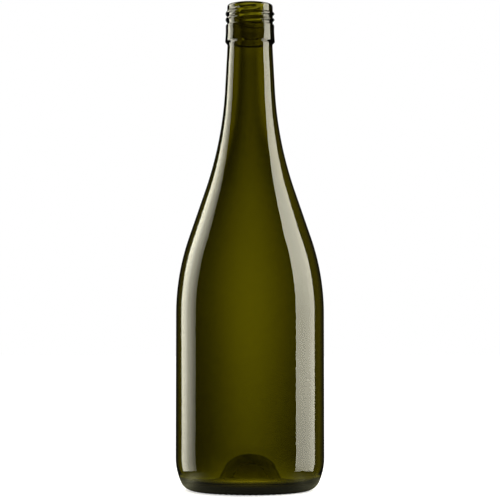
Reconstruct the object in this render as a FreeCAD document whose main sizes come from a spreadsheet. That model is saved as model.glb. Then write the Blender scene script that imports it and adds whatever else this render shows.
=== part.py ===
"""Burgundy wine bottle for 750 ml: one piece of green glass with a screw finish.

The bottle stands on z = 0 with its axis on +Z.  Its front is -Y.  All lengths are in
millimetres and all angles in degrees.  Every driving size is a cell of the sheet
"Sizes", and the sketches and features of the body are bound to those cells.
"""
import FreeCAD
import Part
import Sketcher
import math
import os

NODE = "bottle"
SHEET = "Sizes"

SIZES = [
    # alias, value, what it is
    ("overall_height", 286.0, "standing plane to lip"),
    ("body_diameter", 86.88, "outside of the straight body"),
    ("body_wall", 3.6, "glass of the body and the shoulder"),
    ("shoulder_radius", 137.1, "convex bend between body and shoulder cone"),
    ("shoulder_slope", 18.96, "shoulder cone against the axis"),
    ("neck_blend_radius", 222.0, "concave bend between shoulder cone and neck"),
    ("neck_length", 26.7, "straight taper below the collar"),
    ("neck_taper", 3.07, "neck against the axis"),
    ("neck_top_inset", 0.2, "top of the neck inside the finish's core, at each side"),
    ("heel_upper_radius", 33.2, "wide bend below the body"),
    ("heel_lower_radius", 8.13, "tight bend at the standing plane"),
    ("heel_lower_turn", 64.85, "angle that the tight bend turns through"),
    ("bearing_width", 1.6, "flat ring that the bottle stands on"),
    ("collar_drop", 12.0, "lip to the top of the collar"),
    ("collar_height", 11.8, "height of the collar at the neck"),
    ("collar_lower_proud", 1.25, "widest place of the collar outside the core"),
    ("collar_upper_proud", 0.92, "top edge of the collar outside the core"),
    ("collar_waist_radius", 65.0, "hollow bend of the collar's side"),
    ("collar_lower_edge_radius", 0.6, "rounding of the lower edge"),
    ("collar_upper_edge_radius", 0.75, "rounding of the upper edge"),
    ("collar_underside_slope", 50.0, "underside against the standing plane"),
    ("thread_root_diameter", 27.0, "core of the finish, between the ridges"),
    ("thread_height", 1.0, "ridge outside the core"),
    ("thread_ridge_radius", 1.05, "half-round section of a ridge"),
    ("thread_lead", 7.2, "rise of one start in one turn"),
    ("thread_starts", 2, "ridges, spaced evenly round the axis"),
    ("thread_turns", 1.0, "full-height length of a ridge"),
    ("thread_gap", 0.25, "clear height between collar and ridge"),
    ("thread_runout_turns", 0.08, "length over which a ridge sinks away"),
    ("thread_runout_depth", 1.3, "how far the end of a ridge sinks"),
    ("lip_edge_radius", 1.1, "outer rounding of the lip"),
    ("mouth_edge_radius", 1.0, "inner rounding of the lip"),
    ("lip_flat", 0.3, "least width left between the lip's two roundings"),
    ("mouth_diameter", 18.5, "bore through the finish"),
    ("bore_taper", 3.07, "bore of the neck against the axis"),
    ("floor_height", 5.5, "standing plane to the inner floor"),
    ("inner_heel_radius", 5.0, "bend between inner wall and floor"),
    ("dome_height", 21.3, "standing plane to the top of the inner dome"),
    ("dome_radius", 20.0, "top of the inner dome"),
    ("dome_slope", 40.0, "flank of the inner dome against the floor"),
    ("dome_flare_radius", 8.0, "bend between inner dome and floor"),
    ("punt_height", 15.0, "depth of the hollow under the base"),
    ("punt_radius", 13.0, "top of the hollow"),
    ("punt_slope", 43.0, "flank of the hollow against the floor"),
    ("punt_flare_radius", 5.0, "bend between the flank and the shallow ring"),
    ("punt_step_turn", 70.0, "steepest place beside the standing ring"),
    ("punt_step_edge_radius", 1.8, "rounding at the standing ring"),
    ("punt_step_root_radius", 1.5, "bend at the foot of the shallow ring"),
]

START = 1
END = 2
CENTRE = 3
ORIGIN = (-1, 1)
VERTICAL_AXIS = -2
FAILED_STATES = ("Invalid", "Error")
POSITION_TOLERANCE = 1e-4
CUBIC_CENTIMETRE = 1000.0


def make_sheet(doc):
    """Put each driving size into its own row: name, value with its alias, meaning."""
    sheet = doc.addObject("Spreadsheet::Sheet", SHEET)
    for row, (alias, value, meaning) in enumerate(SIZES, start=1):
        sheet.set(f"A{row}", alias)
        sheet.set(f"B{row}", str(value))
        sheet.set(f"C{row}", meaning)
        sheet.setAlias(f"B{row}", alias)
    doc.recompute()
    return sheet


def cell(alias):
    return f"{SHEET}.{alias}"


def outside(reading):
    """A length reported by the outside's sketch, as a plain number."""
    return f"OutsideOutline.Constraints.{reading} / 1 mm"


def origin_feature(body, role):
    """Find one of the body's own origin planes or axes by its role."""
    for feature in body.Origin.OriginFeatures:
        if feature.Role == role:
            return feature
    raise ValueError(f"no origin feature {role}")


def polar(centre, radius, degrees):
    angle = math.radians(degrees)
    return (centre[0] + radius * math.cos(angle), centre[1] + radius * math.sin(angle))


class Outline:
    """A sketch on an origin plane, drawn as a run of lines and arcs that join up."""

    def __init__(self, body, name, plane):
        self.sketch = body.newObject("Sketcher::SketchObject", name)
        self.sketch.AttachmentSupport = [(origin_feature(body, plane), "")]
        self.sketch.MapMode = "FlatFace"
        self.segments = {}

    def line(self, name, first, last):
        segment = Part.LineSegment(FreeCAD.Vector(*first, 0), FreeCAD.Vector(*last, 0))
        self.segments[name] = (self.sketch.addGeometry(segment, False), START, END)

    def arc(self, name, centre, radius, first, last):
        """Draw an arc between two angles; it runs clockwise where the last is smaller."""
        circle = Part.Circle(FreeCAD.Vector(*centre, 0), FreeCAD.Vector(0, 0, 1), radius)
        low = math.radians(min(first, last))
        high = math.radians(max(first, last))
        index = self.sketch.addGeometry(Part.ArcOfCircle(circle, low, high), False)
        ends = (START, END) if last > first else (END, START)
        self.segments[name] = (index, *ends)

    def index(self, name):
        return self.segments[name][0]

    def entry(self, name):
        return (self.index(name), self.segments[name][1])

    def exit(self, name):
        return (self.index(name), self.segments[name][2])

    def centre(self, name):
        return (self.index(name), CENTRE)

    def rule(self, kind, *references):
        self.sketch.addConstraint(Sketcher.Constraint(kind, *references))

    def join(self, names, corners):
        """Close the run: smooth joints, except after the segments named as corners."""
        for name, following in zip(names, names[1:] + names[:1]):
            kind = "Coincident" if name in corners else "Tangent"
            self.rule(kind, *self.exit(name), *self.entry(following))

    def size(self, name, formula, kind, *references):
        """Add a named dimension and bind it to the sheet."""
        value = float(self.sketch.evalExpression(formula))
        if kind == "Angle":
            value = math.radians(value)
            formula = f"({formula}) * 1 deg"
        number = self.sketch.addConstraint(Sketcher.Constraint(kind, *references, value))
        self.sketch.renameConstraint(number, name)
        self.sketch.setExpression(f"Constraints.{name}", formula)

    def reading(self, name, kind, *references):
        """Add a named dimension that only reports a size, for other sketches to use."""
        number = self.sketch.addConstraint(Sketcher.Constraint(kind, *references, 1.0))
        self.sketch.setDriving(number, False)
        self.sketch.renameConstraint(number, name)

    def across(self, name, formula, point):
        """Give a point's distance from the axis."""
        self.size(name, formula, "DistanceX", *ORIGIN, *point)

    def up(self, name, formula, point):
        """Give a point's height above the standing plane."""
        self.size(name, formula, "DistanceY", *ORIGIN, *point)


def arc_beside(first_centre, first_reach, last_centre, last_reach):
    """Centre of a circle to the right of two others, at a given reach from each."""
    across = last_centre[0] - first_centre[0]
    rise = last_centre[1] - first_centre[1]
    span = math.hypot(across, rise)
    along = (first_reach ** 2 - last_reach ** 2 + span ** 2) / (2 * span)
    aside = math.sqrt(first_reach ** 2 - along ** 2)
    x = first_centre[0] + (along * across + aside * rise) / span
    z = first_centre[1] + (along * rise - aside * across) / span
    return (x, z)


def direction(first, last):
    return math.degrees(math.atan2(last[1] - first[1], last[0] - first[0]))


def shoulder_frame(size):
    """Points shared by the outside and the bore: neck foot and the shoulder's centre."""
    collar_bottom = size["overall_height"] - size["collar_drop"] - size["collar_height"]
    neck_foot_height = collar_bottom - size["neck_length"]
    taper = size["neck_taper"]
    slope = size["shoulder_slope"]
    neck_spread = size["neck_length"] * math.tan(math.radians(taper))
    neck_top_x = size["thread_root_diameter"] / 2 - size["neck_top_inset"]
    neck_foot = (neck_top_x + neck_spread, neck_foot_height)
    blend_centre = polar(neck_foot, size["neck_blend_radius"], taper)
    cone_top = polar(blend_centre, size["neck_blend_radius"], 180 + slope)
    bend_x = size["body_diameter"] / 2 - size["shoulder_radius"]
    cone_foot_x = bend_x + size["shoulder_radius"] * math.cos(math.radians(slope))
    cone_drop = (cone_foot_x - cone_top[0]) / math.tan(math.radians(slope))
    cone_foot = (cone_foot_x, cone_top[1] - cone_drop)
    bend_z = cone_foot[1] - size["shoulder_radius"] * math.sin(math.radians(slope))
    return {
        "collar_bottom": collar_bottom,
        "neck_top": (neck_top_x, collar_bottom),
        "neck_foot": neck_foot,
        "blend_centre": blend_centre,
        "cone_top": cone_top,
        "cone_foot": cone_foot,
        "bend_centre": (bend_x, bend_z),
    }


def draw_outside(body, size):
    """The whole outer form: heel, body, shoulder, neck, collar and the finish's core."""
    frame = shoulder_frame(size)
    body_radius = size["body_diameter"] / 2
    heel_split = size["heel_lower_turn"] - 90
    upper_in = size["heel_upper_radius"] * (1 - math.cos(math.radians(heel_split)))
    lower_in = size["heel_lower_radius"] * math.cos(math.radians(heel_split))
    bearing = body_radius - upper_in - lower_in
    lower_centre = (bearing, size["heel_lower_radius"])
    heel_joint = polar(lower_centre, size["heel_lower_radius"], heel_split)
    upper_centre = polar(heel_joint, -size["heel_upper_radius"], heel_split)

    neck_top = frame["neck_top"]
    root = size["thread_root_diameter"] / 2
    under = math.radians(size["collar_underside_slope"])
    low_edge = size["collar_lower_edge_radius"]
    low_x = root + size["collar_lower_proud"] - low_edge
    run = (low_x - neck_top[0] + low_edge * math.sin(under)) / math.cos(under)
    low_z = neck_top[1] + run * math.sin(under) + low_edge * math.cos(under)
    low_centre = (low_x, low_z)
    high_edge = size["collar_upper_edge_radius"]
    collar_top = size["overall_height"] - size["collar_drop"]
    high_centre = (root + size["collar_upper_proud"] - high_edge, collar_top - high_edge)
    waist = size["collar_waist_radius"]
    waist_centre = arc_beside(low_centre, waist + low_edge, high_centre, waist + high_edge)
    low_turn = direction(low_centre, waist_centre)
    high_turn = direction(high_centre, waist_centre)

    lip = size["lip_edge_radius"]
    lip_centre = (root - lip, size["overall_height"] - lip)
    slope = size["shoulder_slope"]
    taper = size["neck_taper"]

    outline = Outline(body, "OutsideOutline", "XZ_Plane")
    outline.line("base", (0, 0), (bearing, 0))
    outline.arc("heel_low", lower_centre, size["heel_lower_radius"], -90, heel_split)
    outline.arc("heel_high", upper_centre, size["heel_upper_radius"], heel_split, 0)
    outline.line("side", (body_radius, upper_centre[1]), (body_radius, frame["bend_centre"][1]))
    outline.arc("shoulder", frame["bend_centre"], size["shoulder_radius"], 0, slope)
    outline.line("cone", frame["cone_foot"], frame["cone_top"])
    outline.arc("blend", frame["blend_centre"], size["neck_blend_radius"], 180 + slope, 180 + taper)
    outline.line("neck", frame["neck_foot"], neck_top)
    outline.line("underside", neck_top, polar(low_centre, low_edge, math.degrees(under) - 90))
    outline.arc("collar_low", low_centre, low_edge, math.degrees(under) - 90, low_turn)
    outline.arc("waist", waist_centre, waist, 180 + low_turn, 180 + high_turn)
    outline.arc("collar_high", high_centre, high_edge, high_turn, 90)
    outline.line("collar_top", (high_centre[0], collar_top), (root, collar_top))
    outline.line("root", (root, collar_top), (root, lip_centre[1]))
    outline.arc("lip", lip_centre, lip, 0, 90)
    outline.line("top", (lip_centre[0], size["overall_height"]), (0, size["overall_height"]))
    outline.line("axis", (0, size["overall_height"]), (0, 0))

    corners = ("neck", "collar_top", "top", "axis")
    outline.join(list(outline.segments), corners)
    outline.rule("Coincident", *outline.entry("base"), *ORIGIN)
    for name in ("base", "collar_top", "top"):
        outline.rule("Horizontal", outline.index(name))
    for name in ("side", "root", "axis"):
        outline.rule("Vertical", outline.index(name))

    outline.across("body", f"{cell('body_diameter')} / 2", outline.exit("side"))
    core = f"{cell('thread_root_diameter')} / 2"
    outline.across("root_radius", core, outline.exit("root"))
    outline.across("neck_top", f"{core} - {cell('neck_top_inset')}", outline.exit("neck"))
    outline.up("height", cell("overall_height"), outline.exit("top"))
    top = f"{cell('overall_height')} - {cell('collar_drop')}"
    bottom = f"{top} - {cell('collar_height')}"
    outline.up("collar_top_height", top, outline.exit("collar_top"))
    outline.up("collar_bottom_height", bottom, outline.exit("neck"))
    outline.up("neck_foot_height", f"{bottom} - {cell('neck_length')}", outline.entry("neck"))
    for name, alias in (("collar_low", "collar_lower"), ("collar_high", "collar_upper")):
        reach = f"{core} + {cell(alias + '_proud')} - {cell(alias + '_edge_radius')}"
        outline.across(f"{name}_reach", reach, outline.centre(name))
    bends = {
        "heel_low": "heel_lower_radius",
        "heel_high": "heel_upper_radius",
        "shoulder": "shoulder_radius",
        "blend": "neck_blend_radius",
        "collar_low": "collar_lower_edge_radius",
        "waist": "collar_waist_radius",
        "collar_high": "collar_upper_edge_radius",
        "lip": "lip_edge_radius",
    }
    for name, alias in bends.items():
        outline.size(f"{name}_bend", cell(alias), "Radius", outline.index(name))
    outline.size("heel_turn", cell("heel_lower_turn"), "Angle", outline.index("heel_low"))
    outline.size("shoulder_turn", cell("shoulder_slope"), "Angle", outline.index("shoulder"))
    turn_back = f"{cell('shoulder_slope')} - {cell('neck_taper')}"
    outline.size("blend_turn", turn_back, "Angle", outline.index("blend"))
    outline.size("rise", cell("collar_underside_slope"), "Angle", outline.index("underside"))
    outline.reading("bearing_radius", "DistanceX", *ORIGIN, *outline.exit("base"))
    outline.reading("bend_height", "DistanceY", *ORIGIN, *outline.exit("side"))
    return outline.sketch


def draw_bore(body, size):
    """The inside: dome over the punt, floor, wall, shoulder, neck and mouth."""
    frame = shoulder_frame(size)
    height = size["overall_height"]
    mouth = size["mouth_diameter"] / 2
    slope = size["shoulder_slope"]
    taper = size["bore_taper"]
    wall_x = size["body_diameter"] / 2 - size["body_wall"]
    bend = size["shoulder_radius"] - size["body_wall"]
    cone_foot = polar(frame["bend_centre"], bend, slope)
    neck_spread = size["neck_length"] * math.tan(math.radians(taper))
    neck_foot = (mouth + neck_spread, frame["neck_foot"][1])
    facing = polar((0, 0), 1, slope)
    gap = (neck_foot[0] - cone_foot[0]) * facing[0] + (neck_foot[1] - cone_foot[1]) * facing[1]
    blend = gap / (1 - math.cos(math.radians(slope - taper)))
    blend_centre = polar(neck_foot, blend, taper)

    dome = size["dome_radius"]
    fall = size["dome_slope"]
    flare = size["dome_flare_radius"]
    floor = size["floor_height"]
    heel = size["inner_heel_radius"]
    dome_centre = (0, size["dome_height"] - dome)
    flank_top = polar(dome_centre, dome, 90 - fall)
    flank_low_z = floor + flare - flare * math.cos(math.radians(fall))
    flank_run = (flank_top[1] - flank_low_z) / math.tan(math.radians(fall))
    flank_low = (flank_top[0] + flank_run, flank_low_z)
    flare_centre = (flank_low[0] + flare * math.sin(math.radians(fall)), floor + flare)

    outline = Outline(body, "BoreOutline", "XZ_Plane")
    outline.arc("dome", dome_centre, dome, 90, 90 - fall)
    outline.line("flank", flank_top, flank_low)
    outline.arc("flare", flare_centre, flare, 270 - fall, 270)
    outline.line("floor", (flare_centre[0], floor), (wall_x - heel, floor))
    outline.arc("heel", (wall_x - heel, floor + heel), heel, 270, 360)
    outline.line("wall", (wall_x, floor + heel), (wall_x, frame["bend_centre"][1]))
    outline.arc("shoulder", frame["bend_centre"], bend, 0, slope)
    outline.line("cone", cone_foot, polar(blend_centre, blend, 180 + slope))
    outline.arc("blend", blend_centre, blend, 180 + slope, 180 + taper)
    outline.line("neck", neck_foot, (mouth, frame["collar_bottom"]))
    outline.line("mouth", (mouth, frame["collar_bottom"]), (mouth, height))
    outline.line("top", (mouth, height), (0, height))
    outline.line("axis", (0, height), (0, size["dome_height"]))

    outline.join(list(outline.segments), ("neck", "mouth", "top", "axis"))
    for name in ("floor", "top"):
        outline.rule("Horizontal", outline.index(name))
    for name in ("wall", "mouth", "axis"):
        outline.rule("Vertical", outline.index(name))
    outline.rule("PointOnObject", *outline.centre("dome"), VERTICAL_AXIS)
    outline.rule("PointOnObject", *outline.exit("top"), VERTICAL_AXIS)

    wall = f"{cell('body_diameter')} / 2 - {cell('body_wall')}"
    bend_x = f"{cell('shoulder_radius')} - {cell('body_diameter')} / 2"
    bottom = f"{cell('overall_height')} - {cell('collar_drop')} - {cell('collar_height')}"
    outline.across("wall_radius", wall, outline.exit("wall"))
    outline.size("bend_offset", bend_x, "DistanceX", *outline.centre("shoulder"), *ORIGIN)
    outline.up("bend_height", outside("bend_height"), outline.exit("wall"))
    outline.across("mouth_radius", f"{cell('mouth_diameter')} / 2", outline.exit("mouth"))
    outline.up("height", cell("overall_height"), outline.exit("top"))
    outline.up("neck_top_height", bottom, outline.exit("neck"))
    outline.up("neck_foot_height", f"{bottom} - {cell('neck_length')}", outline.entry("neck"))
    outline.up("floor_level", cell("floor_height"), outline.exit("floor"))
    outline.up("dome_top", cell("dome_height"), outline.entry("dome"))
    outline.size("dome_bend", cell("dome_radius"), "Radius", outline.index("dome"))
    outline.size("flare_bend", cell("dome_flare_radius"), "Radius", outline.index("flare"))
    outline.size("heel_bend", cell("inner_heel_radius"), "Radius", outline.index("heel"))
    outline.size("dome_turn", cell("dome_slope"), "Angle", outline.index("dome"))
    outline.size("shoulder_turn", cell("shoulder_slope"), "Angle", outline.index("shoulder"))
    turn_back = f"{cell('shoulder_slope')} - {cell('bore_taper')}"
    outline.size("blend_turn", turn_back, "Angle", outline.index("blend"))
    return outline.sketch


def draw_punt(body, size):
    """The hollow under the base: step at the standing ring, shallow ring and punt."""
    split = size["heel_lower_turn"] - 90
    upper_in = size["heel_upper_radius"] * (1 - math.cos(math.radians(split)))
    lower_in = size["heel_lower_radius"] * math.cos(math.radians(split))
    edge_x = size["body_diameter"] / 2 - upper_in - lower_in - size["bearing_width"]
    steep = size["punt_step_turn"]
    edge = size["punt_step_edge_radius"]
    root = size["punt_step_root_radius"]
    step_in = (edge + root) * math.sin(math.radians(steep))
    step_up = (edge + root) * (1 - math.cos(math.radians(steep)))
    edge_centre = (edge_x, edge)
    root_centre = (edge_x - step_in, step_up - root)
    dome = size["punt_radius"]
    fall = size["punt_slope"]
    flare = size["punt_flare_radius"]
    dome_centre = (0, size["punt_height"] - dome)
    flank_top = polar(dome_centre, dome, 90 - fall)
    flank_low_z = step_up + flare - flare * math.cos(math.radians(fall))
    flank_run = (flank_top[1] - flank_low_z) / math.tan(math.radians(fall))
    flank_low = (flank_top[0] + flank_run, flank_low_z)
    flare_centre = (flank_low[0] + flare * math.sin(math.radians(fall)), step_up + flare)

    outline = Outline(body, "PuntOutline", "XZ_Plane")
    outline.line("base", (0, 0), (edge_x, 0))
    outline.arc("edge", edge_centre, edge, 270, 270 - steep)
    outline.arc("root", root_centre, root, 90 - steep, 90)
    outline.line("ring", (root_centre[0], step_up), (flare_centre[0], step_up))
    outline.arc("flare", flare_centre, flare, 270, 270 - fall)
    outline.line("flank", flank_low, flank_top)
    outline.arc("dome", dome_centre, dome, 90 - fall, 90)
    outline.line("axis", (0, size["punt_height"]), (0, 0))

    outline.join(list(outline.segments), ("dome", "axis"))
    outline.rule("Coincident", *outline.entry("base"), *ORIGIN)
    for name in ("base", "ring"):
        outline.rule("Horizontal", outline.index(name))
    outline.rule("Vertical", outline.index("axis"))
    outline.rule("PointOnObject", *outline.centre("dome"), VERTICAL_AXIS)
    edge_reach = f"{outside('bearing_radius')} - {cell('bearing_width')}"
    outline.across("edge_reach", edge_reach, outline.exit("base"))
    outline.up("punt_top", cell("punt_height"), outline.exit("dome"))
    outline.size("edge_bend", cell("punt_step_edge_radius"), "Radius", outline.index("edge"))
    outline.size("root_bend", cell("punt_step_root_radius"), "Radius", outline.index("root"))
    outline.size("flare_bend", cell("punt_flare_radius"), "Radius", outline.index("flare"))
    outline.size("dome_bend", cell("punt_radius"), "Radius", outline.index("dome"))
    outline.size("edge_turn", cell("punt_step_turn"), "Angle", outline.index("edge"))
    outline.size("dome_turn", cell("punt_slope"), "Angle", outline.index("dome"))
    return outline.sketch


def draw_ridge(body, size, name, turns):
    """The round section of a thread ridge, at a number of turns from its first end."""
    crest = size["thread_root_diameter"] / 2 + size["thread_height"]
    centre_x = crest - size["thread_ridge_radius"]
    collar_top = size["overall_height"] - size["collar_drop"]
    centre_z = collar_top + size["thread_gap"] + size["thread_ridge_radius"]
    outline = Outline(body, name, "YZ_Plane")
    place = FreeCAD.Placement(FreeCAD.Vector(), FreeCAD.Rotation(FreeCAD.Vector(0, 1, 0), 1))
    outline.sketch.AttachmentOffset = place
    outline.sketch.setExpression("AttachmentOffset.Base.y", f"{turns} * {cell('thread_lead')}")
    outline.sketch.setExpression("AttachmentOffset.Rotation.Angle", f"{turns} * 360 deg")
    section = Part.Circle(
        FreeCAD.Vector(-centre_x, centre_z, 0),
        FreeCAD.Vector(0, 0, 1),
        size["thread_ridge_radius"],
    )
    circle = outline.sketch.addGeometry(section, False)
    crest_reach = f"{cell('thread_root_diameter')} / 2 + {cell('thread_height')}"
    reach = f"{crest_reach} - {cell('thread_ridge_radius')}"
    level = f"{cell('overall_height')} - {cell('collar_drop')} + {cell('thread_gap')}"
    level = f"{level} + {cell('thread_ridge_radius')}"
    outline.size("reach", reach, "DistanceX", circle, CENTRE, *ORIGIN)
    outline.up("level", level, (circle, CENTRE))
    outline.size("section", cell("thread_ridge_radius"), "Radius", circle)
    return outline.sketch


def revolve(body, name, kind, sketch):
    """Turn a sketch once round the axis of the bottle."""
    feature = body.newObject(kind, name)
    feature.Profile = sketch
    feature.ReferenceAxis = (sketch, ["V_Axis"])
    feature.Angle = 360
    return feature


def wind(body, name, sketch, turns, growth, downward):
    """Sweep a ridge section along a helix, which may sink as it goes."""
    feature = body.newObject("PartDesign::AdditiveHelix", name)
    feature.Profile = sketch
    feature.ReferenceAxis = (sketch, ["V_Axis"])
    feature.Mode = "height-turns-growth"
    feature.Reversed = downward
    feature.setExpression("Turns", turns)
    feature.setExpression("Height", f"{cell('thread_lead')} * {turns}")
    feature.setExpression("Growth", growth)
    return feature


def repeat(body, name, originals, sketch, count):
    """Repeat features evenly round the axis of the bottle."""
    pattern = body.newObject("PartDesign::PolarPattern", name)
    pattern.Originals = originals
    pattern.Axis = (sketch, ["V_Axis"])
    pattern.Angle = 360
    pattern.setExpression("Occurrences", count)
    body.Tip = pattern
    return pattern


def round_edges(shape, radius, height):
    """Names of the round edges on the axis with this radius and height."""
    names = []
    for number, edge in enumerate(shape.Edges, start=1):
        if edge.Degenerated or not isinstance(edge.Curve, Part.Circle):
            continue
        off_centre = edge.Curve.Center - FreeCAD.Vector(0, 0, height)
        off_size = abs(edge.Curve.Radius - radius)
        if max(off_centre.Length, off_size) < POSITION_TOLERANCE:
            names.append(f"Edge{number}")
    return names


def round_mouth(body, size, base):
    """Round the inner edge of the lip."""
    edges = round_edges(base.Shape, size["mouth_diameter"] / 2, size["overall_height"])
    assert edges, "the inner edge of the lip was not found"
    fillet = body.newObject("PartDesign::Fillet", "MouthEdge")
    fillet.Base = (base, edges)
    wall = f"({cell('thread_root_diameter')} - {cell('mouth_diameter')}) / 2"
    room = f"{wall} - {cell('lip_edge_radius')} - {cell('lip_flat')}"
    fillet.setExpression("Radius", f"min({cell('mouth_edge_radius')}; {room})")
    return fillet


def make_bottle(doc, size):
    """Build the glass: outside, bore, lip, punt and thread ridges."""
    body = doc.addObject("PartDesign::Body", "Bottle")
    body.Label = NODE
    revolve(body, "Outside", "PartDesign::Revolution", draw_outside(body, size))
    doc.recompute()
    solid_volume = body.Shape.Volume
    bore = revolve(body, "Bore", "PartDesign::Groove", draw_bore(body, size))
    doc.recompute()
    hollow_volume = body.Shape.Volume
    assert hollow_volume < solid_volume, "the bore cut nothing"
    round_mouth(body, size, bore)
    revolve(body, "Punt", "PartDesign::Groove", draw_punt(body, size))
    doc.recompute()
    blank_volume = body.Shape.Volume
    assert blank_volume < hollow_volume, "the punt cut nothing"

    first = draw_ridge(body, size, "RidgeFirstEnd", "0")
    last = draw_ridge(body, size, "RidgeLastEnd", cell("thread_turns"))
    doc.recompute()
    runout = cell("thread_runout_turns")
    sinking = f"-{cell('thread_runout_depth')} / {runout}"
    ridge = [
        wind(body, "Ridge", first, cell("thread_turns"), "0", False),
        wind(body, "RunoutLow", first, runout, sinking, True),
        wind(body, "RunoutHigh", last, runout, sinking, False),
    ]
    doc.recompute()
    repeat(body, "Thread", ridge, first, cell("thread_starts"))
    doc.recompute()
    assert body.Shape.Volume > blank_volume, "the thread added nothing"
    return body


def check(doc, bodies):
    """Stop before anything is written if an object failed or a solid is unsound."""
    for item in doc.Objects:
        if any(state in FAILED_STATES for state in item.State):
            raise RuntimeError(f"{item.Name} failed: {item.State}")
    for sketch in doc.findObjects("Sketcher::SketchObject"):
        if not sketch.FullyConstrained:
            raise RuntimeError(f"{sketch.Name} has loose sizes")
    for body in bodies:
        shape = body.Shape
        if shape.isNull() or not shape.isValid() or len(shape.Solids) != 1:
            raise RuntimeError(f"{body.Label} is not one sound solid")


def main():
    doc = FreeCAD.newDocument("BurgundyBottle")
    sheet = make_sheet(doc)
    size = {alias: float(sheet.get(alias)) for alias, value, meaning in SIZES}
    bodies = [make_bottle(doc, size)]
    check(doc, bodies)
    os.makedirs("parts", exist_ok=True)
    for body in bodies:
        body.Shape.exportStep(f"parts/{body.Label}.step")
        print(f"{body.Label}: {body.Shape.Volume / CUBIC_CENTIMETRE:.1f} cubic centimetres of glass")


main()
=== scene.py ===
"""Burgundy wine bottle: the glass as it looks, around the packed CAD model of the bottle.

The bottle is one piece of olive green glass.  Its surface is one closed turned mesh: the
hollow under the base, the standing ring with its knurls, the heel, the body, the neck, the
collar, the two-start thread, the lip, and then the whole inside down to the dome over the
hollow.  The stage is a pale floor with a small plinth, which glows with painted reflections
of the two lights, a pale surround, a card behind the bottle, two upright soft lights, and
black cloth that only reflections meet.
"""

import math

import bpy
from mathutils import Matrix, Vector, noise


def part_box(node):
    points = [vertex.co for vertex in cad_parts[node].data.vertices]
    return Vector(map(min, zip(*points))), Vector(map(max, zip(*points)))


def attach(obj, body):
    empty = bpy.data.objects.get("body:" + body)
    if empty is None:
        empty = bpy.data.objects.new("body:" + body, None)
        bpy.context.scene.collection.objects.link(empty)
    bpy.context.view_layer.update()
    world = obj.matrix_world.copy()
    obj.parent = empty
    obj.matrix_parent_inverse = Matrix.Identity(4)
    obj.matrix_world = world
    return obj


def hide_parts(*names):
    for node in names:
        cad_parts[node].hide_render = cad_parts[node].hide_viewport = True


bl_info = {
    "name": "Burgundy Wine Bottle",
    "version": (1, 0, 0),
    "blender": (4, 5, 0),
    "location": "View3D > Sidebar > Bottle",
    "description": "Turns a green glass wine bottle and lights it on a pale stage",
    "category": "Add Mesh",
}

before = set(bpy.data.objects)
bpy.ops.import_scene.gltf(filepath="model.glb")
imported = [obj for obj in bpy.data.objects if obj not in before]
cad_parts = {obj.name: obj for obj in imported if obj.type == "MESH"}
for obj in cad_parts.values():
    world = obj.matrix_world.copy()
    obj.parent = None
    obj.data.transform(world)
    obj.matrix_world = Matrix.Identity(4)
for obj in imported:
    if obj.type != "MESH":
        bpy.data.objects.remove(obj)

NODE = "bottle"
BODY = "root"
PIECE = "bottle_glass"
LOW, HIGH = (Vector(corner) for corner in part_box(NODE))
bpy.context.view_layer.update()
FULL_TURN = 2 * math.pi
MM = 0.001
UPRIGHT = (0.0, 1.0)
ACROSS = (1.0, 0.0)
MOULD_FINISH = "mould_finish"
GLOW_LEVEL = "level"
WHITE = (1.0, 1.0, 1.0)
CARD_COLUMNS = 48


def length_property(label, meaning, default):
    return bpy.props.FloatProperty(
        name=label, description=meaning, default=default, unit="LENGTH", precision=5
    )


def angle_property(label, meaning, degrees):
    return bpy.props.FloatProperty(
        name=label, description=meaning, default=math.radians(degrees), subtype="ANGLE"
    )


def plain_property(label, meaning, default):
    return bpy.props.FloatProperty(name=label, description=meaning, default=default)


def count_property(label, meaning, default):
    return bpy.props.IntProperty(name=label, description=meaning, default=default, min=1)


def colour_property(label, meaning, default):
    return bpy.props.FloatVectorProperty(
        name=label, description=meaning, default=default, subtype="COLOR", min=0.0, max=1.0
    )


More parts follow.
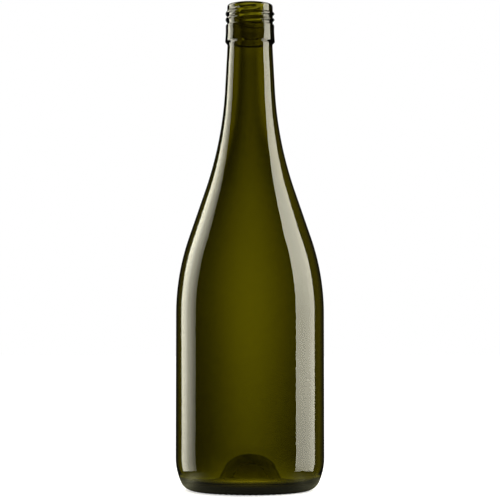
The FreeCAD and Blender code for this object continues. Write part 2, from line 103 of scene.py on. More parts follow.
class BottleShape(bpy.types.PropertyGroup):
    """Sizes of the bottle."""

    height: length_property("Height", "Standing plane to lip", HIGH.z - LOW.z)
    body_radius: length_property("Body radius", "Outside of the body", (HIGH.x - LOW.x) / 2)
    wall: length_property("Wall", "Glass of body and shoulder", 3.6 * MM)
    shoulder_bend: length_property("Shoulder bend", "Body to shoulder cone", 137.1 * MM)
    shoulder_slope: angle_property("Shoulder slope", "Shoulder cone against the axis", 18.96)
    neck_bend: length_property("Neck bend", "Shoulder cone to neck", 222.0 * MM)
    neck_length: length_property("Neck length", "Taper below the collar", 26.7 * MM)
    neck_taper: angle_property("Neck taper", "Neck against the axis", 3.07)
    neck_top_bend: length_property("Neck top bend", "Neck to collar", 1.0 * MM)
    core_radius: length_property("Finish radius", "Finish between the ridges", 13.5 * MM)
    neck_inset: length_property("Neck inset", "Top of the neck inside the finish", 0.2 * MM)
    collar_drop: length_property("Collar drop", "Lip to the collar's top", 12.0 * MM)
    collar_height: length_property("Collar height", "Height of the collar", 11.8 * MM)
    collar_low: length_property("Collar foot", "Lower edge outside the finish", 1.25 * MM)
    collar_waist: length_property("Collar waist", "Waist outside the finish", 0.8 * MM)
    collar_high: length_property("Collar top", "Top edge outside the finish", 0.92 * MM)
    collar_waist_drop: length_property("Waist drop", "Lip to the waist", 16.4 * MM)
    collar_waist_bend: length_property("Waist bend", "Hollow of the collar's side", 55.0 * MM)
    collar_low_edge: length_property("Collar foot edge", "Rounding", 0.6 * MM)
    collar_high_edge: length_property("Collar top edge", "Rounding", 0.65 * MM)
    collar_root: length_property("Collar root", "Rounding above the collar", 0.2 * MM)
    collar_rise: angle_property("Collar underside", "Slope of the underside", 50.0)
    lip_edge: length_property("Lip edge", "Outer rounding of the lip", 1.1 * MM)
    mouth_edge: length_property("Mouth edge", "Inner rounding of the lip", 1.0 * MM)
    mouth_radius: length_property("Mouth radius", "Bore through the finish", 9.25 * MM)
    bore_taper: angle_property("Bore taper", "Bore of the neck against the axis", 3.07)
    bore_bend: length_property("Bore bend", "Mouth to neck", 60.0 * MM)
    heel_low_bend: length_property("Heel foot bend", "Tight bend at the ground", 8.13 * MM)
    heel_high_bend: length_property("Heel bend", "Wide bend below the body", 33.2 * MM)
    heel_low_turn: angle_property("Heel foot turn", "Turn of the tight bend", 64.85)
    bearing_width: length_property("Standing ring", "Width of the flat ring", 1.6 * MM)
    step_turn: angle_property("Step turn", "Steepest place beside the ring", 70.0)
    step_edge: length_property("Step edge", "Rounding at the ring", 1.8 * MM)
    step_root: length_property("Step root", "Bend above the step", 1.5 * MM)
    punt_height: length_property("Punt height", "Hollow under the base", 15.0 * MM)
    punt_bend: length_property("Punt bend", "Top of the hollow", 13.0 * MM)
    punt_slope: angle_property("Punt slope", "Flank of the hollow", 43.0)
    punt_flare: length_property("Punt flare", "Flank to the shallow ring", 5.0 * MM)
    floor: length_property("Inner floor", "Height of the inner floor", 5.5 * MM)
    floor_bend: length_property("Inner heel", "Inner wall to floor", 5.0 * MM)
    dome_height: length_property("Dome height", "Top of the inner dome", 21.3 * MM)
    dome_bend: length_property("Dome bend", "Rounding of the dome", 20.0 * MM)
    dome_slope: angle_property("Dome slope", "Flank of the dome", 40.0)
    dome_flare: length_property("Dome flare", "Dome to floor", 8.0 * MM)


class FinishShape(bpy.types.PropertyGroup):
    """Thread ridges, knurls and the unevenness of blown glass."""

    starts: count_property("Thread starts", "Ridges round the finish", 2)
    lead: length_property("Thread lead", "Rise of one ridge in a turn", 7.2 * MM)
    turns: plain_property("Thread turns", "Full-height length of a ridge", 1.0)
    runout: plain_property("Thread run-out", "Turns in which a ridge sinks", 0.06)
    ridge_height: length_property("Ridge height", "Ridge outside the finish", 1.0 * MM)
    ridge_half: length_property("Ridge half width", "Half of a ridge at its foot", 1.4 * MM)
    ridge_crest: plain_property("Ridge crest", "Share of the half width at full height", 0.1)
    thread_gap: length_property("Thread gap", "Collar to the middle of a ridge", 1.3 * MM)
    knurls: count_property("Knurls", "Ribs round the standing ring", 60)
    knurl_depth: length_property("Knurl depth", "Grooves between the ribs", 0.4 * MM)
    knurl_reach: length_property("Knurl length", "Length of a rib", 3.4 * MM)
    unevenness: length_property("Unevenness", "Swing of the inner wall", 0.12 * MM)
    columns: count_property("Columns", "Facets round the bottle", 160)
    fine: count_property("Fine factor", "More facets on thread and knurls", 3)


class GlassLook(bpy.types.PropertyGroup):
    """The colour and the gloss of the glass."""

    clear: colour_property("Glass tint", "Colour that light keeps in the glass", (0.69, 0.67, 0.0))
    density: plain_property("Density", "How fast the glass darkens, for each metre", 1040.0)
    base_roughness: plain_property("Base roughness", "Mould finish under the base", 0.6)
    ior: plain_property("Index", "Refraction of container glass", 1.52)
    ripple: plain_property("Ripple", "Strength of the surface ripple", 0.02)
    ripple_size: plain_property("Ripple scale", "Waves for each metre", 60.0)


class StageLook(bpy.types.PropertyGroup):
    """Lights, surround and camera."""

    surround: plain_property("Surround", "Light of the surround on dull surfaces", 0.7)
    right_power: plain_property("Right light", "Brightness of the right panel", 8.2)
    left_power: plain_property("Left light", "Brightness of the left panel", 7.1)
    light_colour: colour_property("Light colour", "Colour of both panels", (1.0, 0.97, 0.79))
    floor_glow: plain_property("Floor white", "Share of white in the floor's own look", 0.5)
    # The plinth glows: painted light, with painted reflections of the two lights.
    plinth: plain_property("Plinth", "Light that the plinth sends back", 0.24)
    plinth_colour: colour_property("Plinth colour", "Cast of the plinth", (1.0, 0.98, 0.6))
    left_image: plain_property("Left image", "The left light in the plinth's polish", 1.0)
    right_image: plain_property("Right image", "The right light in the plinth's polish", 0.4)
    under_light: plain_property("Under light", "Brightness under the base", 0.4)
    punt_light: plain_property("Punt light", "Brightness under the hollow of the base", 5.0)
    backlight: plain_property("Backlight", "Brightness behind the body", 0.86)
    neck_backlight: plain_property("Neck backlight", "Brightness behind the neck", 0.37)
    distance: length_property("Camera distance", "Camera to the bottle's axis", 961.4 * MM)
    camera_height: length_property("Camera height", "Camera above the ground", 90.4 * MM)
    camera_pitch: angle_property("Camera pitch", "Camera looks up by", 2.979)
    lens: plain_property("Lens", "Focal length in millimetres", 117.65)


def ease(share):
    """Smooth step from 0 to 1."""
    share = min(1.0, max(0.0, share))
    return share * share * (3 - 2 * share)


def mix(low, high, share):
    """The value at a share of the way from low to high."""
    return low + (high - low) * share


def bell(value, spread):
    """Bell curve that is 1 at zero."""
    return math.exp(-((value / spread) ** 2) / 2)


def along(stops, value):
    """Value on a smooth curve through stops of (place, level)."""
    if value <= stops[0][0]:
        return stops[0][1]
    for (first, low), (second, high) in zip(stops, stops[1:]):
        if value <= second:
            return mix(low, high, ease((value - first) / (second - first)))
    return stops[-1][1]


def steps_between(low, high, count):
    """Evenly spaced values from low to high, with both ends."""
    return [low + (high - low) * k / count for k in range(count + 1)]


def direction(first, second):
    """Unit direction from one point to the next in the (radius, height) plane."""
    across = second[0] - first[0]
    rise = second[1] - first[1]
    length = math.hypot(across, rise)
    return (across / length, rise / length)


def mirrored(point):
    """The same point on the other side of the axis."""
    return (-point[0], point[1])


def meeting(point, heading, other, other_heading):
    """Where two lines of the outline meet."""
    cross = heading[0] * other_heading[1] - heading[1] * other_heading[0]
    across = other[0] - point[0]
    rise = other[1] - point[1]
    reach = (across * other_heading[1] - rise * other_heading[0]) / cross
    return (point[0] + reach * heading[0], point[1] + reach * heading[1])


class Corner:
    """A corner of the outline before it is rounded."""

    def __init__(self, name, point, bend, line_step=5.0 * MM, arc_step=math.radians(6)):
        self.name = name
        self.point = point
        self.bend = bend
        self.line_step = line_step
        self.arc_step = arc_step


class Row:
    """One ring of the turned surface."""

    def __init__(self, radius, height, facing, part):
        self.radius = radius
        self.height = height
        self.facing = facing
        self.part = part


def run_rows(last, end, heading, corner):
    """Rows on the straight run from a corner's arc to the next arc, without both ends."""
    length = math.hypot(end[0] - last.radius, end[1] - last.height)
    pieces = max(1, math.ceil(length / corner.line_step))
    facing = math.atan2(-heading[0], heading[1])
    rows = []
    for piece in range(1, pieces):
        radius = mix(last.radius, end[0], piece / pieces)
        height = mix(last.height, end[1], piece / pieces)
        rows.append(Row(radius, height, facing, corner.name + "_run"))
    return rows


def arc_steps(corner, turn):
    """An even number of steps, so that a row falls on the middle of the arc."""
    longest_step = 1.3 * MM
    by_angle = math.ceil(abs(turn) / corner.arc_step)
    by_length = math.ceil(abs(turn) * corner.bend / longest_step)
    steps = max(2, by_angle, by_length)
    return steps + steps % 2


def rounded(corners):
    """Rows along the outline: straight runs between corners, and an arc at each corner.

    The first and the last corner are on the axis, so only half of each arc is made there.
    """
    same_place = 0.01 * MM
    points = [corner.point for corner in corners]
    points = [mirrored(points[1]), *points, mirrored(points[-2])]
    rows = []
    for number, corner in enumerate(corners):
        behind, here, ahead = points[number:number + 3]
        arriving = direction(behind, here)
        leaving = direction(here, ahead)
        side = arriving[0] * leaving[1] - arriving[1] * leaving[0]
        turn = math.atan2(side, arriving[0] * leaving[0] + arriving[1] * leaving[1])
        reach = corner.bend * math.tan(abs(turn) / 2)
        begin = (here[0] - reach * arriving[0], here[1] - reach * arriving[1])
        steps = arc_steps(corner, turn)
        first, final = 0, steps
        if number == 0:
            first = steps // 2
        else:
            last = rows[-1]
            if math.hypot(begin[0] - last.radius, begin[1] - last.height) < same_place:
                first = 1
            rows.extend(run_rows(last, begin, arriving, corners[number - 1]))
        if number == len(corners) - 1:
            final = steps // 2
        swing = math.copysign(1, turn)
        middle_x = begin[0] - swing * corner.bend * arriving[1]
        middle_y = begin[1] + swing * corner.bend * arriving[0]
        for step in range(first, final + 1):
            facing = math.atan2(-arriving[0], arriving[1]) + turn * step / steps
            radius = middle_x + swing * corner.bend * math.cos(facing)
            height = middle_y + swing * corner.bend * math.sin(facing)
            rows.append(Row(radius, height, facing, corner.name))
    return rows


def bearing_radius(shape):
    """Outer edge of the flat standing ring."""
    heel_split = math.pi / 2 - shape.heel_low_turn
    radius = shape.body_radius
    radius -= shape.heel_high_bend * (1 - math.cos(heel_split))
    radius -= shape.heel_low_bend * math.cos(heel_split)
    return radius


def outline_corners(shape):
    """Corners from the hollow under the base, up the outside and down the inside."""
    punt_tip = shape.punt_height + shape.punt_bend * (1 / math.cos(shape.punt_slope) - 1)
    step_height = (shape.step_edge + shape.step_root) * (1 - math.cos(shape.step_turn))
    ring_foot = (punt_tip - step_height) / math.tan(shape.punt_slope)
    bearing = bearing_radius(shape)
    ring_edge = bearing - shape.bearing_width
    step_reach = math.tan(shape.step_turn / 2)
    step_foot = (ring_edge - shape.step_edge * step_reach, 0.0)
    step_line = (-math.cos(shape.step_turn), math.sin(shape.step_turn))
    step_head = meeting(step_foot, step_line, (0.0, step_height), ACROSS)
    heel_foot = (bearing + shape.heel_low_bend * math.tan(shape.heel_low_turn / 2), 0.0)
    heel_line = (math.cos(shape.heel_low_turn), math.sin(shape.heel_low_turn))
    heel_head = meeting(heel_foot, heel_line, (shape.body_radius, 0.0), UPRIGHT)

    collar_foot_height = shape.height - shape.collar_drop - shape.collar_height
    collar_head_height = shape.height - shape.collar_drop
    neck_top = (shape.core_radius - shape.neck_inset, collar_foot_height)
    neck_line = (math.sin(shape.neck_taper), -math.cos(shape.neck_taper))
    cone_line = (math.sin(shape.shoulder_slope), -math.cos(shape.shoulder_slope))
    neck_tangent = math.tan((shape.shoulder_slope - shape.neck_taper) / 2)
    neck_run = shape.neck_length / math.cos(shape.neck_taper) + shape.neck_bend * neck_tangent
    neck_corner = (neck_top[0] + neck_run * neck_line[0], neck_top[1] + neck_run * neck_line[1])
    shoulder_corner = meeting(neck_corner, cone_line, (shape.body_radius, 0.0), UPRIGHT)
    collar_low_radius = shape.core_radius + shape.collar_low
    underside_rise = (collar_low_radius - neck_top[0]) * math.tan(shape.collar_rise)
    collar_low = (collar_low_radius, collar_foot_height + underside_rise)
    waist = (shape.core_radius + shape.collar_waist, shape.height - shape.collar_waist_drop)
    collar_high = (shape.core_radius + shape.collar_high, collar_head_height)
    core_foot = (shape.core_radius, collar_head_height)
    lip = (shape.core_radius, shape.height)
    mouth = (shape.mouth_radius, shape.height)

    inner_radius = shape.body_radius - shape.wall
    off_cone = (
        shoulder_corner[0] - shape.wall * math.cos(shape.shoulder_slope),
        shoulder_corner[1] - shape.wall * math.sin(shape.shoulder_slope),
    )
    inner_shoulder = meeting(off_cone, cone_line, (inner_radius, 0.0), UPRIGHT)
    bore_top = (shape.mouth_radius, collar_foot_height)
    bore_line = (math.sin(shape.bore_taper), -math.cos(shape.bore_taper))
    inner_neck = meeting(bore_top, bore_line, inner_shoulder, cone_line)
    bore_run = shape.neck_length / math.cos(shape.bore_taper)
    to_inner_neck = math.hypot(inner_neck[0] - bore_top[0], inner_neck[1] - bore_top[1])
    inner_tangent = math.tan((shape.shoulder_slope - shape.bore_taper) / 2)
    inner_neck_bend = (to_inner_neck - bore_run) / inner_tangent
    dome_tip = shape.dome_height + shape.dome_bend * (1 / math.cos(shape.dome_slope) - 1)
    dome_foot = (dome_tip - shape.floor) / math.tan(shape.dome_slope)

    small_turn = math.radians(9)
    return [
        Corner("punt", (0.0, punt_tip), shape.punt_bend, line_step=4.0 * MM),
        Corner("punt_flare", (ring_foot, step_height), shape.punt_flare),
        Corner("step_root", step_head, shape.step_root, arc_step=math.radians(12)),
        Corner("step_edge", step_foot, shape.step_edge, 0.8 * MM, math.radians(10)),
        Corner("heel_foot", heel_foot, shape.heel_low_bend, arc_step=math.radians(2.2)),
        Corner("heel", heel_head, shape.heel_high_bend),
        Corner("shoulder", shoulder_corner, shape.shoulder_bend),
        Corner("neck", neck_corner, shape.neck_bend),
        Corner("neck_top", neck_top, shape.neck_top_bend, 0.5 * MM, small_turn),
        Corner("collar_low", collar_low, shape.collar_low_edge, 1.0 * MM, small_turn),
        Corner("waist", waist, shape.collar_waist_bend, arc_step=math.radians(0.8)),
        Corner("collar_high", collar_high, shape.collar_high_edge, arc_step=small_turn),
        Corner("core", core_foot, shape.collar_root, 0.2 * MM, small_turn),
        Corner("lip", lip, shape.lip_edge, 1.0 * MM, small_turn),
        Corner("mouth", mouth, shape.mouth_edge, 4.0 * MM, small_turn),
        Corner("bore", bore_top, shape.bore_bend),
        Corner("inner_neck", inner_neck, inner_neck_bend),
        Corner("inner_shoulder", inner_shoulder, shape.shoulder_bend - shape.wall),
        Corner("inner_heel", (inner_radius, shape.floor), shape.floor_bend),
        Corner("dome_flare", (dome_foot, shape.floor), shape.dome_flare),
        Corner("dome", (0.0, dome_tip), shape.dome_bend),
    ]


def thread_relief(angle, height, shape, finish):
    """How far the thread ridges stand out of the finish at a place on it."""
    front = -math.pi / 2
    collar_top = shape.height - shape.collar_drop
    relief = 0.0
    for start in range(finish.starts):
        origin = front + start * FULL_TURN / finish.starts
        turns = ((angle - origin) / FULL_TURN) % 1.0
        for lap in (-1.0, 0.0, 1.0):
            wound = turns + lap
            beyond = max(-wound, wound - finish.turns)
            if beyond >= finish.runout:
                continue
            middle = collar_top + finish.thread_gap + finish.lead * wound
            strength = 1 - ease(beyond / finish.runout)
            off = abs(height - middle) / finish.ridge_half
            section = ease((1 - off) / (1 - finish.ridge_crest))
            relief = max(relief, finish.ridge_height * strength * section)
    return relief


def knurl_relief(angle, radius, bearing, finish):
    """The grooves between the knurls, as a negative height, beside the standing ring.

    A groove begins a little inside the ring's outer edge, sinks quickly and runs out slowly.
    Its bottom and the tops of the ribs beside it are flat.
    """
    begins_inside, sinking, running_out = 0.12, 4, 2.5
    steepness, flat_top = 1.6, 0.3
    share = (radius - bearing) / finish.knurl_reach
    window = ease(sinking * (share + begins_inside)) * ease(running_out * (1 - share))
    swing = 0.5 - 0.5 * math.cos(angle * finish.knurls)
    return -finish.knurl_depth * window * ease(steepness * swing - flat_top)


def inner_relief(radius, angle, height, finish):
    """The slow swing of the inner wall of blown glass, drawn out up the bottle."""
    swings_across = 28
    swings_up = 9
    x = radius * math.cos(angle) * swings_across
    y = radius * math.sin(angle) * swings_across
    return finish.unevenness * noise.noise(Vector((x, y, height * swings_up)))


def ring_places(row, bearing, shape, finish):
    """Places round one row, with the thread, the knurls or the unevenness on it."""
    threaded = row.part == "core_run"
    beside_ring = row.part in ("step_edge_run", "heel_foot")
    knurled = beside_ring and row.radius < bearing + finish.knurl_reach
    inner = row.part.startswith(("inner", "dome", "bore"))
    columns = finish.columns * (finish.fine if knurled or threaded else 1)
    places = []
    for column in range(columns):
        angle = FULL_TURN * column / columns
        relief = 0.0
        if threaded:
            relief = thread_relief(angle, row.height, shape, finish)
        elif knurled:
            relief = knurl_relief(angle, row.radius, bearing, finish)
        elif inner:
            relief = inner_relief(row.radius, angle, row.height, finish)
        radius = row.radius + relief * math.cos(row.facing)
        height = row.height + relief * math.sin(row.facing)
        places.append((radius * math.cos(angle), radius * math.sin(angle), height))
    return places


def turn_surface(shape, finish):
    """Vertices and faces of the closed glass surface, and each vertex's share of mould finish."""
    on_axis = 0.001 * MM
    bearing = bearing_radius(shape)
    vertices = []
    moulded = []
    rings = []
    for row in rounded(outline_corners(shape)):
        places = [(0.0, 0.0, row.height)]
        if row.radius >= on_axis:
            places = ring_places(row, bearing, shape, finish)
        rings.append(range(len(vertices), len(vertices) + len(places)))
        vertices.extend(places)
        moulded.extend([float(row.part.startswith(("punt", "step")))] * len(places))
    faces = []
    for lower, upper in zip(rings, rings[1:]):
        faces.extend(bridge(lower, upper))
    return vertices, faces, moulded


def bridge(lower, upper):
    """Faces between two rings, whose counts are equal or one a multiple of the other."""
    faces = []
    if len(lower) == 1 or len(upper) == 1:
        opening = len(lower) == 1
        pole, rim = (lower[0], upper) if opening else (upper[0], lower)
        for place, vertex in enumerate(rim):
            following = rim[(place + 1) % len(rim)]
            faces.append((pole, following, vertex) if opening else (vertex, following, pole))
        return faces
    count = min(len(lower), len(upper))
    lower_share = len(lower) // count
    upper_share = len(upper) // count
    for place in range(count):
        below = [lower[(place * lower_share + k) % len(lower)] for k in range(lower_share + 1)]
        above = [upper[(place * upper_share + k) % len(upper)] for k in range(upper_share + 1)]
        if lower_share == upper_share:
            faces.append((below[0], below[1], above[1], above[0]))
            continue
        fine, coarse = (below, above) if lower_share > upper_share else (above, below)
        middle = len(fine) // 2
        fans = [(coarse[0], fine[k], fine[k + 1]) for k in range(middle)]
        fans.append((coarse[0], fine[middle], coarse[1]))
        fans.extend((coarse[1], fine[k], fine[k + 1]) for k in range(middle, len(fine) - 1))
        if fine is above:
            fans = [tuple(reversed(fan)) for fan in fans]
        faces.extend(fans)
    return faces


def node_material(name):
    """A new material, with its nodes and links."""
    material = bpy.data.materials.new(name)
    material.use_nodes = True
    return material, material.node_tree.nodes, material.node_tree.links


def scaled(nodes, links, value, factor):
    """The output of a node times a number."""
    product = nodes.new("ShaderNodeMath")
    product.operation = "MULTIPLY"
    product.inputs[1].default_value = factor
    links.new(value, product.inputs[0])
    return product.outputs[0]


def either(nodes, links, first, second):
    """1 where one of two marks is 1, or both."""
    total = nodes.new("ShaderNodeMath")
    total.operation = "ADD"
    total.use_clamp = True
    links.new(first, total.inputs[0])
    links.new(second, total.inputs[1])
    return total.outputs[0]


def glass_material(look):
    """Olive green container glass: clear surface, colour in its depth, faint ripple."""
    material, nodes, links = node_material("Olive container glass")
    surface = nodes["Principled BSDF"]
    surface.inputs["Base Color"].default_value = (*WHITE, 1.0)
    # Also set plainly, for viewers that don't follow the link below.
    surface.inputs["Roughness"].default_value = 0.0
    surface.inputs["IOR"].default_value = look.ior
    surface.inputs["Transmission Weight"].default_value = 1.0
    absorb = nodes.new("ShaderNodeVolumeAbsorption")
    absorb.inputs["Color"].default_value = (*look.clear, 1.0)
    absorb.inputs["Density"].default_value = look.density
    links.new(absorb.outputs["Volume"], nodes["Material Output"].inputs["Volume"])
    place = nodes.new("ShaderNodeTexCoord")
    ripple = nodes.new("ShaderNodeTexNoise")
    ripple.inputs["Scale"].default_value = look.ripple_size
    ripple.inputs["Detail"].default_value = 1.0
    bump = nodes.new("ShaderNodeBump")
    bump.inputs["Strength"].default_value = look.ripple
    bump.inputs["Distance"].default_value = 1.0 * MM
    links.new(place.outputs["Object"], ripple.inputs["Vector"])
    links.new(ripple.outputs["Fac"], bump.inputs["Height"])
    links.new(bump.outputs["Normal"], surface.inputs["Normal"])
    moulded = nodes.new("ShaderNodeAttribute")
    moulded.attribute_name = MOULD_FINISH
    dull = scaled(nodes, links, moulded.outputs["Fac"], look.base_roughness)
    links.new(dull, surface.inputs["Roughness"])
    return material


def add_mesh(name, vertices, faces, material, smooth=False):
    """A mesh object of one material in the scene."""
    mesh = bpy.data.meshes.new(name)
    mesh.from_pydata(vertices, [], faces)
    mesh.validate()
    mesh.update()
    mesh.polygons.foreach_set("use_smooth", [smooth] * len(mesh.polygons))
    mesh.materials.append(material)
    piece = bpy.data.objects.new(name, mesh)
    bpy.context.scene.collection.objects.link(piece)
    return piece


def keep_values(piece, name, values):
    """Keep one number for each vertex in the mesh, for the material to read."""
    attribute = piece.data.attributes.new(name, "FLOAT", "POINT")
    attribute.data.foreach_set("value", values)


class BOTTLE_OT_glass(bpy.types.Operator):
    """Turn the closed glass surface of the bottle"""

    bl_idname = "bottle.glass"
    bl_label = "Bottle Glass"

    def execute(self, context):
        scene = context.scene
        vertices, faces, moulded = turn_surface(scene.bottle_shape, scene.bottle_finish)
        material = glass_material(scene.bottle_glass)
        piece = add_mesh(PIECE, vertices, faces, material, smooth=True)
        keep_values(piece, MOULD_FINISH, moulded)
        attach(piece, BODY)
        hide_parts(NODE)
        return {"FINISHED"}


def show_to(piece, *rays):
    """Let only the named kinds of ray meet a piece of the stage."""
    for kind in ("camera", "diffuse", "glossy", "transmission", "volume_scatter", "shadow"):
        setattr(piece, "visible_" + kind, kind in rays)


def glow_material(name, colour, strength=1.0):
    """A plain glowing surface."""
    material, nodes, links = node_material(name)
    nodes.remove(nodes["Principled BSDF"])
    glow = nodes.new("ShaderNodeEmission")
    glow.inputs["Color"].default_value = (*colour, 1.0)
    glow.inputs["Strength"].default_value = strength
    links.new(glow.outputs[0], nodes["Material Output"].inputs["Surface"])
    return material


def shaded_glow(name, colour):
    """A glow whose strength is kept in the mesh, so that it can fade softly."""
    material = glow_material(name, colour)
    nodes = material.node_tree.nodes
    level = nodes.new("ShaderNodeAttribute")
    level.attribute_name = GLOW_LEVEL
    material.node_tree.links.new(level.outputs["Fac"], nodes["Emission"].inputs["Strength"])
    return material


def add_card(name, point, rows, material):
    """A card of the stage: point(across, row) places its points, across from 0 to 1."""
    shares = steps_between(0.0, 1.0, CARD_COLUMNS)
    vertices = [point(across, row) for row in rows for across in shares]
    faces = []
    for row in range(len(rows) - 1):
        for column in range(CARD_COLUMNS):
            first = row * len(shares) + column
            second = first + len(shares)
            faces.append((first, first + 1, second + 1, second))
    card = add_mesh(name, vertices, faces, material)
    return card


def add_shaded_card(name, point, levels, rows, material):
    """A card whose points glow by their own levels(across, row)."""
    card = add_card(name, point, rows, material)
    shares = steps_between(0.0, 1.0, CARD_COLUMNS)
    keep_values(card, GLOW_LEVEL, [levels(across, row) for row in rows for across in shares])
    return card


def add_flat(name, sides, depths, height, material):
    """A level rectangle of the stage."""
    left, right = sides
    near, far = depths
    plan = ((left, near), (right, near), (right, far), (left, far))
    flat = add_mesh(name, [(x, y, height) for x, y in plan], [(0, 1, 2, 3)], material)
    return flat


def add_surround(look):
    """White for the camera, for gloss and through glass; softer light on dull surfaces."""
    world = bpy.data.worlds.new("Pale surround")
    world.use_nodes = True
    bpy.context.scene.world = world
    nodes = world.node_tree.nodes
    links = world.node_tree.links
    ray = nodes.new("ShaderNodeLightPath").outputs
    seen = either(nodes, links, ray["Is Camera Ray"], ray["Is Glossy Ray"])
    seen = either(nodes, links, seen, ray["Is Transmission Ray"])
    strength = nodes.new("ShaderNodeMapRange")
    strength.inputs["To Min"].default_value = look.surround
    strength.inputs["To Max"].default_value = 1.0
    links.new(seen, strength.inputs["Value"])
    background = nodes["Background"]
    background.inputs["Color"].default_value = (*WHITE, 1.0)
    links.new(strength.outputs[0], background.inputs["Strength"])


def add_floor(look):
    """A wide pale floor, white where nothing shades it."""
    sides = depths = (-6.0, 6.0)
    pale_grey = (0.9, 0.9, 0.9)
    material, nodes, links = node_material("Pale floor")
    surface = nodes["Principled BSDF"]
    surface.inputs["Base Color"].default_value = (*pale_grey, 1.0)
    surface.inputs["Roughness"].default_value = 1.0
    surface.inputs["Specular IOR Level"].default_value = 0.0
    surface.inputs["Emission Color"].default_value = (*WHITE, 1.0)
    ray = nodes.new("ShaderNodeLightPath").outputs
    white = scaled(nodes, links, ray["Is Camera Ray"], look.floor_glow)
    links.new(white, surface.inputs["Emission Strength"])
    show_to(add_flat("floor", sides, depths, 0.0, material), "camera", "diffuse", "shadow")


def plinth_level(angle, radius, look):
    """A dim glowing plinth: painted light, with painted reflections of the two lights on it.

    The stops are distances from the bottle's axis.  The angles are counted round it from the
    right, over the back.
    """
    # Painted brighter glow in a ring close round the bottle's foot.
    close_by = ((0.036, 0.0), (0.041, 1.0), (0.048, 0.5), (0.058, 0.0))
    # How far out the painted reflections of the lights and the painted side light reach from the
    # axis.
    images = ((0.037, 0.0), (0.045, 0.4), (0.053, 1.0), (0.066, 0.6), (0.078, 0.0))
    left_angle, left_spread = math.radians(200), math.radians(9)
    right_angle, right_spread = math.radians(328), math.radians(7)
    side_share = 0.6
    left = look.left_image * bell(angle - left_angle, left_spread)
    right = look.right_image * bell(angle - right_angle, right_spread)
    # Painted light towards the left and right sides, where the lights stand.
    sides = side_share * look.plinth * math.cos(angle) ** 4
    return look.plinth * along(close_by, radius) + (left + right + sides) * along(images, radius)


def add_shaded_disc(name, radius, drop, level, material):
    """A round card just under the ground: level(angle, radius) gives its glow."""
    rings = 20

    def point(across, ring):
        angle = FULL_TURN * across
        return (ring * math.cos(angle), ring * math.sin(angle), -drop)

    def levels(across, ring):
        return level(FULL_TURN * across, ring)

    return add_shaded_card(name, point, levels, steps_between(0.0, radius, rings), material)


def add_plinth(look):
    """The small plinth: a glowing top with painted reflections of the lights, which only
    reflections meet, and a light under it, which only rays through the glass meet.
    """
    top_radius, top_drop = 78 * MM, 0.05 * MM
    lit_radius, lit_drop = 100 * MM, 0.1 * MM
    under = ((0.014, look.punt_light), (0.022, look.under_light))

    def painted_reflection_level(angle, ring):
        return plinth_level(angle, ring, look)

    def under_level(angle, ring):
        return along(under, ring)

    # The plinth top is painted light: a glow with painted reflections of the two lights, seen only
    # in reflections.
    painted_reflection = shaded_glow("Polished plinth", tuple(look.plinth_colour))
    top = add_shaded_disc("plinth_top", top_radius, top_drop, painted_reflection_level, painted_reflection)
    show_to(top, "glossy")
    lit = shaded_glow("Under light", WHITE)
    light = add_shaded_disc("under_light", lit_radius, lit_drop, under_level, lit)
    show_to(light, "transmission")


def add_flags():
    """Black cloth round the set, above it and below it, which only reflections meet."""
    radius = 0.9
    low, high = -0.8, 1.6
    sides, depths = (-1.0, 1.0), (-1.0, 0.5)
    faint = 0.01
    cloth = glow_material("Black cloth", WHITE, faint)

    def point(across, height):
        angle = FULL_TURN * across
        return (radius * math.cos(angle), radius * math.sin(angle), height)

    show_to(add_card("black_flags", point, (low, high), cloth), "glossy")
    for name, height in (("black_roof", high), ("black_ground", low)):
        show_to(add_flat(name, sides, depths, height, cloth), "glossy")


def backlight_level(x, height, look):
    """A spot behind the body, dim beside it, and white again further out.

    Level with the neck the white begins nearer to the middle, and nearer on the right than on
    the left.  Behind the mouth the card is brighter again, and below the ground it is dimmer.
    """
    neck_foot, neck_climb = 0.20, 0.09
    body_start, body_end = 0.09, 0.32
    neck_start, neck_end, shade = (0.02, 0.078, 0.33) if x > 0 else (0.055, 0.13, 0.2)
    spot_height, spot_spread, spot_half_width = 0.121, 0.075, 0.03
    mouth_foot, mouth_climb, mouth_gain = 0.33, 0.012, 0.7
    ground_depth, ground_share = 0.12, 0.35
    climb = ease((height - neck_foot) / neck_climb)
    start = mix(body_start, neck_start, climb)
    end = mix(body_end, neck_end, climb)
    beyond = ease((abs(x) - start) / (end - start))
    spot = mix(look.neck_backlight, look.backlight, bell(height - spot_height, spot_spread))
    spot *= 1 + mouth_gain * ease((height - mouth_foot) / mouth_climb)
    dim = spot * mix(shade, 1.0, bell(x, spot_half_width))
    above_ground = mix(ground_share, 1.0, ease((height + ground_depth) / ground_depth))
    return above_ground * mix(dim, 1.0, beyond)


def add_backlight(look):
    """The card behind the bottle, which only shows through the glass."""
    depth = 0.4
    half_width = 0.32
    low, high, rows = -0.5, 0.9, 70

    def point(across, height):
        return ((2 * across - 1) * half_width, depth, height)

    def levels(across, height):
        return backlight_level(point(across, height)[0], height, look)

    material = shaded_glow("Backlight card", WHITE)
    card = add_shaded_card("backlight", point, levels, steps_between(low, high, rows), material)
    show_to(card, "transmission")


def add_light_panel(name, front, rear, power, fade, lean, colour):
    """An upright soft light beside the bottle, hidden from the camera.

    The panel runs from front to rear, as seen from above.  It fades across by the stops in
    fade, which the stops in lean stretch at each height, and it fades towards its foot and top.
    """
    low, high, rows = -0.15, 0.6, 50
    rise = (
        (-0.15, 0.0),
        (-0.09, 0.42),
        (-0.02, 0.62),
        (0.08, 0.78),
        (0.22, 1.0),
        (0.34, 1.0),
        (0.6, 0.6),
    )

    def point(across, height):
        return (mix(front[0], rear[0], across), mix(front[1], rear[1], across), height)

    def levels(across, height):
        return power * along(fade, across / along(lean, height)) * along(rise, height)

    material = shaded_glow(name.replace("_", " ").capitalize(), colour)
    card = add_shaded_card(name, point, levels, steps_between(low, high, rows), material)
    show_to(card, "diffuse", "glossy")


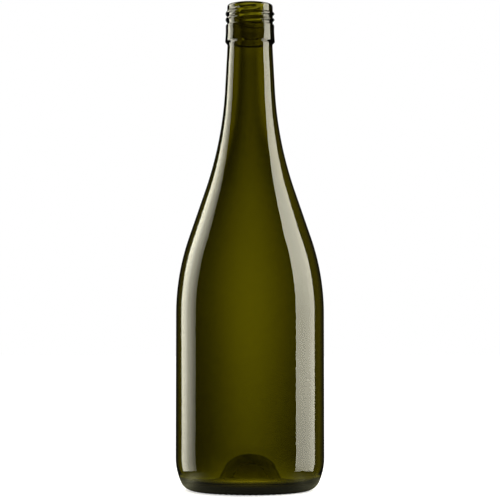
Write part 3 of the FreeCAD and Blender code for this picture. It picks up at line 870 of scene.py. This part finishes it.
def add_light_panels(look):
    """The two soft lights, the right one nearer the camera."""
    colour = tuple(look.light_colour)
    add_light_panel(
        "right_light",
        front=(0.326, -0.115),
        rear=(0.191, 0.066),
        power=look.right_power,
        fade=((0.0, 1.0), (0.97, 0.84), (1.0, 0.3)),
        lean=((0.2, 1.0), (0.3, 0.97)),
        colour=colour,
    )
    add_light_panel(
        "left_light",
        front=(-0.237, -0.021),
        rear=(-0.144, 0.103),
        power=look.left_power,
        fade=((0.0, 0.24), (0.45, 0.62), (0.68, 1.0), (0.87, 1.0), (1.0, 0.0)),
        lean=((0.02, 0.91), (0.12, 0.955), (0.22, 1.03)),
        colour=colour,
    )


def add_camera(look):
    """A long lens in front of the bottle, low down and looking slightly up."""
    camera = bpy.data.cameras.new("Camera")
    camera.lens = look.lens
    camera.sensor_width = 36.0
    camera.clip_start = 0.01
    camera.clip_end = 50.0
    view = bpy.data.objects.new("Camera", camera)
    view.location = (0.0, -look.distance, look.camera_height)
    view.rotation_euler = (math.pi / 2 + look.camera_pitch, 0.0, 0.0)
    bpy.context.scene.collection.objects.link(view)
    bpy.context.scene.camera = view


class BOTTLE_OT_stage(bpy.types.Operator):
    """Set up the surround, the floor, the plinth, the lights and the camera"""

    bl_idname = "bottle.stage"
    bl_label = "Pale Stage"

    def execute(self, context):
        look = context.scene.bottle_stage
        context.scene.view_settings.view_transform = "Standard"
        add_surround(look)
        add_floor(look)
        add_plinth(look)
        add_flags()
        add_backlight(look)
        add_light_panels(look)
        add_camera(look)
        return {"FINISHED"}


class BOTTLE_PT_panel(bpy.types.Panel):
    """Sizes, looks and the two steps of the bottle"""

    bl_label = "Wine Bottle"
    bl_idname = "BOTTLE_PT_panel"
    bl_space_type = "VIEW_3D"
    bl_region_type = "UI"
    bl_category = "Bottle"

    def draw(self, context):
        layout = self.layout
        for operator in (BOTTLE_OT_glass, BOTTLE_OT_stage):
            layout.operator(operator.bl_idname)
        for name, group in GROUPS.items():
            box = layout.box()
            box.label(text=group.__doc__)
            for key in group.__annotations__:
                box.prop(getattr(context.scene, name), key)


GROUPS = {
    "bottle_shape": BottleShape,
    "bottle_finish": FinishShape,
    "bottle_glass": GlassLook,
    "bottle_stage": StageLook,
}
CLASSES = (*GROUPS.values(), BOTTLE_OT_glass, BOTTLE_OT_stage, BOTTLE_PT_panel)


def register():
    for item in CLASSES:
        bpy.utils.register_class(item)
    for name, group in GROUPS.items():
        setattr(bpy.types.Scene, name, bpy.props.PointerProperty(type=group))


def unregister():
    for name in GROUPS:
        delattr(bpy.types.Scene, name)
    for item in reversed(CLASSES):
        bpy.utils.unregister_class(item)


def main():
    register()
    bpy.ops.bottle.glass()
    bpy.ops.bottle.stage()


if __name__ == "__main__":
    main()
